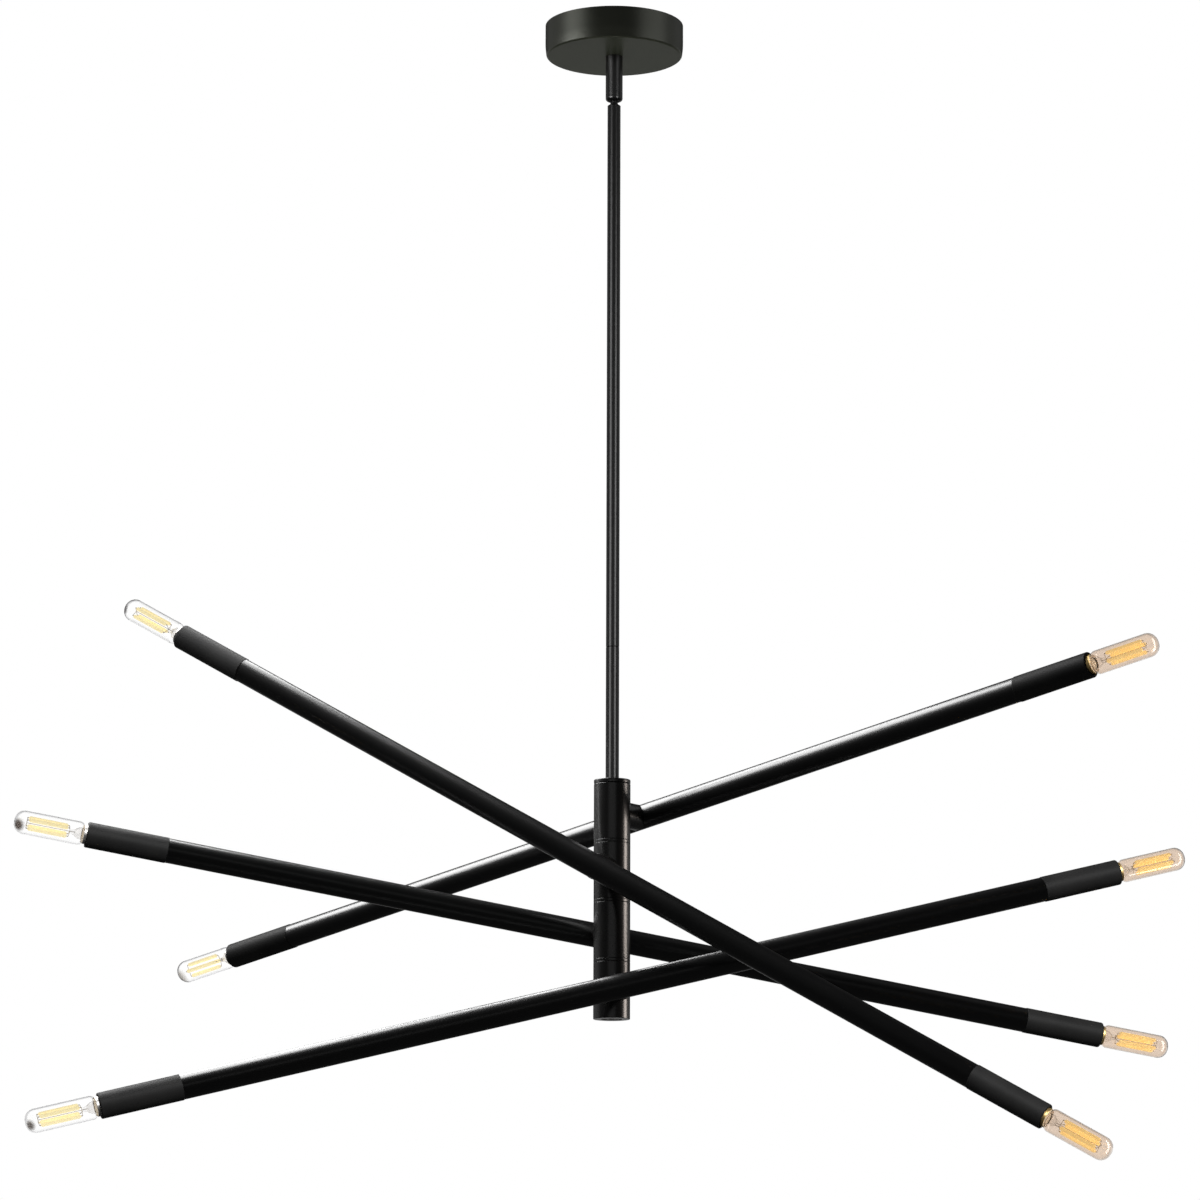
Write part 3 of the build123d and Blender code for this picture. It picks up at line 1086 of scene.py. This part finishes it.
for number, (place, stick_turn) in enumerate(zip(ends, stick_turns), start=1):
    sticks = made_by(
        stick_rule,
        {
            "Count": stick_count,
            "Circle": stick_circle * mm,
            "Radius": stick_radius * mm,
            "Length": stick_length * mm,
            "Turn": math.radians(stick_turn),
        },
    )
    body = f"bulb_{number}"
    sticks_bm = placed(sticks, place @ Matrix.Translation((0, 0, stick_start * mm)))
    nodes = [f"bulb_filament_{number}"]
    coat = stick_pale if number % 2 else stick_golden
    piece(f"lamp_{number}_sticks", sticks_bm, body, "filament_yellow", nodes, coat)
    mount_bm = bmesh.new()
    turned(mount_bm, rounded(*stem_outer, *stem_inner), place, steps=40)
    root, tip = (0, 0, stem_top - wire_root), (0, 0, stick_end + wire_tip)
    wire(mount_bm, root, tip, wire_radius, place)
    crosses = (
        (stick_start - cross_gap, cross_drop, stick_start),
        (stick_end + cross_gap, 0, stick_end),
    )
    for step in range(stick_count):
        angle = math.radians(stick_turn) + 2 * math.pi * step / stick_count
        across = Vector((math.cos(angle), math.sin(angle), 0)) * stick_circle
        for height, drop, foot in crosses:
            knee = across + Vector((0, 0, height))
            wire(mount_bm, (0, 0, height - drop), knee, wire_radius, place)
            wire(mount_bm, knee, across + Vector((0, 0, foot)), weld_radius, place)
    piece(
        f"lamp_{number}_mount", mount_bm, body, "filament_yellow", [], stem_glass, wire_steel
    )

# Lamp glass: thin blown tubes with a rounded shoulder and a domed tip, sealed to the stem.
# The lamps on the left are clear, with a painted dark reflection low on the front of the tip.
# The lamps on the right take a faint warm tint from their coating.
glass_radius = 10.0
glass_wall = 0.8
glass_end = 1.1
glass_tip = 132.0
glass_shoulder = 4.0
glass_dome = 8.5
neck_hole = stem_radius + 0.1
inner_radius = glass_radius - glass_wall
inner_tip = glass_tip - glass_end
inner_low = base_top + glass_wall
# Painted reflection: the clear glass is darkened in a patch low on the side of the tip that faces
# the camera.
painted_reflection_core = 0.35
painted_reflection_radius = glass_radius - 2.0
painted_reflection_side = Vector((0, -0.85, -0.5))
painted_reflections = {
    1: (5.0, 9.0, (0.55, 0.53, 0.50)),
    3: (2.5, 6.0, (0.26, 0.25, 0.25)),
    5: (3.0, 7.5, (0.12, 0.10, 0.09)),
    7: (1.5, 7.0, (0.16, 0.145, 0.135)),
}


def blown_glass(name):
    """Smooth glass that still needs its colour."""
    finish, shader, place = new_finish(name)
    shader.inputs["Roughness"].default_value = 0.0
    shader.inputs["Transmission Weight"].default_value = 1.0
    shader.inputs["IOR"].default_value = 1.48
    return finish, shader, place


def glass_with_painted_reflection(name, spot, reach, reflection_colour):
    """Clear glass with a painted dark reflection as far as its reach round a spot."""
    finish, shader, place = blown_glass(name)
    away = place.node(
        "ShaderNodeVectorMath", {"operation": "DISTANCE"}, {0: place, 1: spot}, out="Value"
    )
    clear = away.between(painted_reflection_core * reach * mm, reach * mm)
    clear = clear * (0.96 + 0.04 * place.grain(60.0, 2.0))
    clear.tint(reflection_colour, (1.0, 1.0, 1.0)).feed(shader, "Base Color")
    return finish


warm_glass, warm_shader, warm_place = blown_glass("warm_glass")
warm_cloud = warm_place.grain(60.0, 2.0).between(0.3, 0.7)
warm_cloud.tint((0.821, 0.733, 0.655), (0.831, 0.743, 0.665)).feed(warm_shader, "Base Color")
for number, place in enumerate(ends, start=1):
    glass_bm = bmesh.new()
    turned(
        glass_bm,
        rounded(
            (neck_hole, base_top, 0),
            (glass_radius, base_top, glass_shoulder),
            (glass_radius, glass_tip, glass_dome),
            (0, glass_tip, 0),
            (0, inner_tip, 0),
            (inner_radius, inner_tip, glass_dome - glass_wall),
            (inner_radius, inner_low, glass_shoulder - glass_wall),
            (neck_hole, inner_low, 0),
        ),
        place,
        steps=96,
    )
    finish = warm_glass
    if number in painted_reflections:
        inset, reach, reflection_colour = painted_reflections[number]
        way = place.to_3x3() @ Vector((0, 0, 1))
        low_front = (painted_reflection_side - way * way.dot(painted_reflection_side)).normalized()
        spot = place @ Vector((0, 0, (glass_tip - inset) * mm)) + low_front * painted_reflection_radius * mm
        finish = glass_with_painted_reflection(f"clear_glass_{number}", spot, reach, reflection_colour)
    nodes = [f"bulb_glass_{number}"]
    piece(f"lamp_{number}_glass", glass_bm, f"bulb_{number}", "clear_glass", nodes, finish)

# Floor: a pale matt disc at the height of a room's floor below the ceiling.
# The camera and the glass see it near white, the gloss of the black coats leaves it out,
# and from below it is clear.
floor_height = -2400.0
floor_radius = 4000.0
floor_bm = bmesh.new()
bmesh.ops.create_circle(
    floor_bm,
    cap_ends=True,
    segments=96,
    radius=floor_radius * mm,
    matrix=Matrix.Translation((0, 0, floor_height * mm)),
)
floor_mesh = bpy.data.meshes.new("floor")
floor_bm.to_mesh(floor_mesh)
floor_bm.free()
floor = bpy.data.objects.new("floor", floor_mesh)
bpy.context.scene.collection.objects.link(floor)
floor_pale, floor_shader, floor_place = new_finish("floor_pale")
floor_colour = floor_place.grain(6.0, 3.0).tint((0.82, 0.82, 0.82), (0.86, 0.86, 0.86))
floor_colour.feed(floor_shader, "Base Color")
floor_shader.inputs["Roughness"].default_value = 0.9
floor_seen = floor_place.node("ShaderNodeLightPath", {}, {}, out="Is Camera Ray")
floor_passed = Shade(floor_seen.tree, floor_seen.socket.node.outputs["Is Transmission Ray"])
floor_light = (floor_seen + floor_passed).tint((0.0, 0.0, 0.0), (0.78, 0.78, 0.78))
floor_light.feed(floor_shader, "Emission Color")
floor_shader.inputs["Emission Strength"].default_value = 1.0
floor_below = floor_place.node("ShaderNodeNewGeometry", {}, {}, out="Backfacing")
(1 - floor_below).feed(floor_shader, "Alpha")
floor_mesh.materials.append(floor_pale)
floor.visible_glossy = False

# Room: white for the camera, and for what it sees straight through the glass.
# The rest of the room is dim so that the black coats stay black, with a soft glow low behind
# the light, at its sides and in a band in front.
world = bpy.data.worlds.new("room")
bpy.context.scene.world = world
world.use_nodes = True
room = world.node_tree
room.nodes.clear()
facing = Shade(room, room.nodes.new("ShaderNodeTexCoord").outputs["Generated"])
split = facing.node("ShaderNodeSeparateXYZ", {}, {"Vector": facing}).socket.node
right, back, up = (Shade(room, split.outputs[axis]) for axis in "XYZ")
low_behind = back.between(0.2, 0.6) * up.between(-0.42, -0.10) * (1 - up.between(-0.05, 0.01))
beside = back.between(-0.3, 0.1) * (1 - back.between(0.7, 0.9))
beside = beside * (right * right).between(0.1, 0.3) * up.between(-0.12, 0.05)
in_front = (1 - back.between(-0.97, -0.86)) * up.between(0.085, 0.125)
in_front = in_front * (1 - up.between(0.16, 0.25))
glow = 0.03 + 0.42 * low_behind + 0.2 * beside + 0.45 * in_front
straight_back = back.between(0.85, 0.95)
seen = Shade(room, room.nodes.new("ShaderNodeLightPath").outputs["Is Camera Ray"])
passed = Shade(room, seen.socket.node.outputs["Is Transmission Ray"])
white = seen.sum("MAXIMUM", seen, passed * straight_back)
brightness = white + (1 - white) * (glow + 0.55 * passed) + 0.15 * (1 - seen) * white
backdrop = facing.node(
    "ShaderNodeBackground", {}, {"Color": (1.0, 1.0, 1.0, 1.0), "Strength": brightness}
)
room.links.new(backdrop.socket, room.nodes.new("ShaderNodeOutputWorld").inputs["Surface"])

# Studio lamps: soft flat panels with an even glow, hung round the light and hidden from the camera.
# Flags keep most of them to the pieces that they are for, because the long thin coats
# need their streaks of light in different places.
upward = (0, 0, 1)
back_slant = (0.79, -0.07, 0.59)
warm_white = (1.0, 0.88, 0.80)
rod_middle = (0, 0, -400)
swivel_middle = (0, 0, -50)
canopy_side = (0, 0, -15)
canopy_low = (0, 0, -20)


def panel(name, centre, aim, side, width, height, glow, colour=(1, 1, 1), only=(), never=()):
    """A soft lamp: a flat panel with an even glow, flagged so that it lights some pieces only."""
    lamp = bpy.data.lights.new(name, "AREA")
    lamp.shape = "RECTANGLE"
    lamp.size = width * mm
    lamp.size_y = height * mm
    lamp.energy = glow * math.pi * lamp.size * lamp.size_y
    lamp.color = colour
    made = bpy.data.objects.new(name, lamp)
    bpy.context.scene.collection.objects.link(made)
    made.matrix_world = standing(centre, Vector(centre) - Vector(aim), side)
    made.visible_camera = False
    flagged = bpy.data.collections.new(f"{name}_flags")
    for lit_piece in (*only, *never):
        flagged.objects.link(lit_piece)
    for member in flagged.collection_objects:
        member.light_linking.link_state = "INCLUDE" if only else "EXCLUDE"
    made.light_linking.receiver_collection = flagged
    return made


def named(*names):
    """The pieces of these names."""
    return [bpy.data.objects[name] for name in names]


canopy_pieces = named("canopy_cup")
swivel_pieces = named("swivel_barrel")
rod_pieces = named("swivel_ball", "down_rod_upper", "down_rod_lower")
column_pieces = named("column_lid", "column_rings")
column_pieces += named(*(f"{name}_{n}" for name in ("hub_drum", "arm_collar") for n in range(1, 5)))
sleeve_pieces = named("arm_2_sleeves", "arm_3_sleeves", "arm_4_sleeves")
lamp_range = range(1, 9)
inner_kinds = ("glass", "sticks", "mount")
inner_pieces = named(*(f"lamp_{n}_{kind}" for kind in inner_kinds for n in lamp_range))
base_pieces = named(*(f"lamp_{n}_base" for n in lamp_range))
warm_glasses = named(*(f"lamp_{n}_glass" for n in lamp_range if n % 2 == 0))
other_tubes = named("arm_2_tube", "arm_4_tube")
panel(
    "lamp_back_left", (-620, 130, 10), (-131, -384, -700), back_slant, 920, 940, 9.5,
    never=canopy_pieces + swivel_pieces + rod_pieces + inner_pieces + other_tubes,
)
panel(
    "lamp_back_left_short", (-579, 240, -26), (-90, -274, -736), back_slant, 920, 760, 9.5,
    only=named("arm_2_tube"),
)
panel(
    "lamp_back_left_long", (-583, 219, -29), (-94, -295, -739), back_slant, 920, 1310, 9.5,
    only=named("arm_4_tube"),
)
panel(
    "lamp_right", (1500, 120, -690), (0, 0, -780), upward, 510, 550, 7.2, warm_white,
    only=column_pieces,
)
panel(
    "lamp_front_left", (-1060, -1060, -250), rod_middle, upward, 1000, 800, 2.3, only=rod_pieces
)
panel(
    "lamp_front_right", (1060, -1060, -310), rod_middle, upward, 880, 560, 2.9, only=rod_pieces
)
panel(
    "lamp_swivel_left", (-1060, -1060, -35), swivel_middle, upward, 330, 800, 12.0,
    only=swivel_pieces,
)
panel(
    "lamp_swivel_right", (1060, -1060, -35), swivel_middle, upward, 330, 560, 8.0,
    only=swivel_pieces,
)
panel(
    "lamp_canopy_left", (-1400, -530, 430), canopy_side, upward, 440, 950, 2.2,
    only=canopy_pieces,
)
canopy_fill = panel(
    "lamp_canopy_below", (0, 0, -1500), (0, 0, 0), (1, 0, 0), 900, 900, 19.0, only=canopy_pieces
)
canopy_fill.visible_glossy = False
panel(
    "lamp_canopy_right", (1370, -610, 430), canopy_side, upward, 440, 1250, 1.2,
    only=canopy_pieces,
)
panel(
    "lamp_canopy_low_left", (-1400, -480, -150), canopy_low, upward, 400, 950, 7.0,
    only=canopy_pieces,
)
panel(
    "lamp_canopy_low_right", (1370, -610, -150), canopy_low, upward, 400, 1250, 1.8,
    only=canopy_pieces,
)
panel(
    "lamp_tips", (1450, -350, -800), (450, 0, -800), upward, 2600, 420, 7.0,
    only=warm_glasses,
)
panel(
    "lamp_sleeves", (900, -1900, 250), (300, 0, -850), (1, 0, 0), 2600, 700, 13.0,
    only=sleeve_pieces + base_pieces,
)

# Camera: a long lens four metres in front of the light and lower than its arms.
# It looks a little up, and the light fills its square picture.
pan = math.radians(0.150)
pitch = math.radians(90 + 10.456)
roll = math.radians(0.186)
eye = bpy.data.cameras.new("eye")
eye.sensor_width = 36.0
eye.lens = 144.34
eye.clip_end = 100.0
camera = bpy.data.objects.new("eye", eye)
bpy.context.scene.collection.objects.link(camera)
camera.location = (-0.0003, -4.1058, -1.2753)
aim = (
    Matrix.Rotation(pan, 3, "Z") @ Matrix.Rotation(pitch, 3, "X") @ Matrix.Rotation(roll, 3, "Z")
)
camera.rotation_euler = aim.to_euler()
bpy.context.scene.camera = camera
bpy.context.scene.view_settings.view_transform = "Standard"
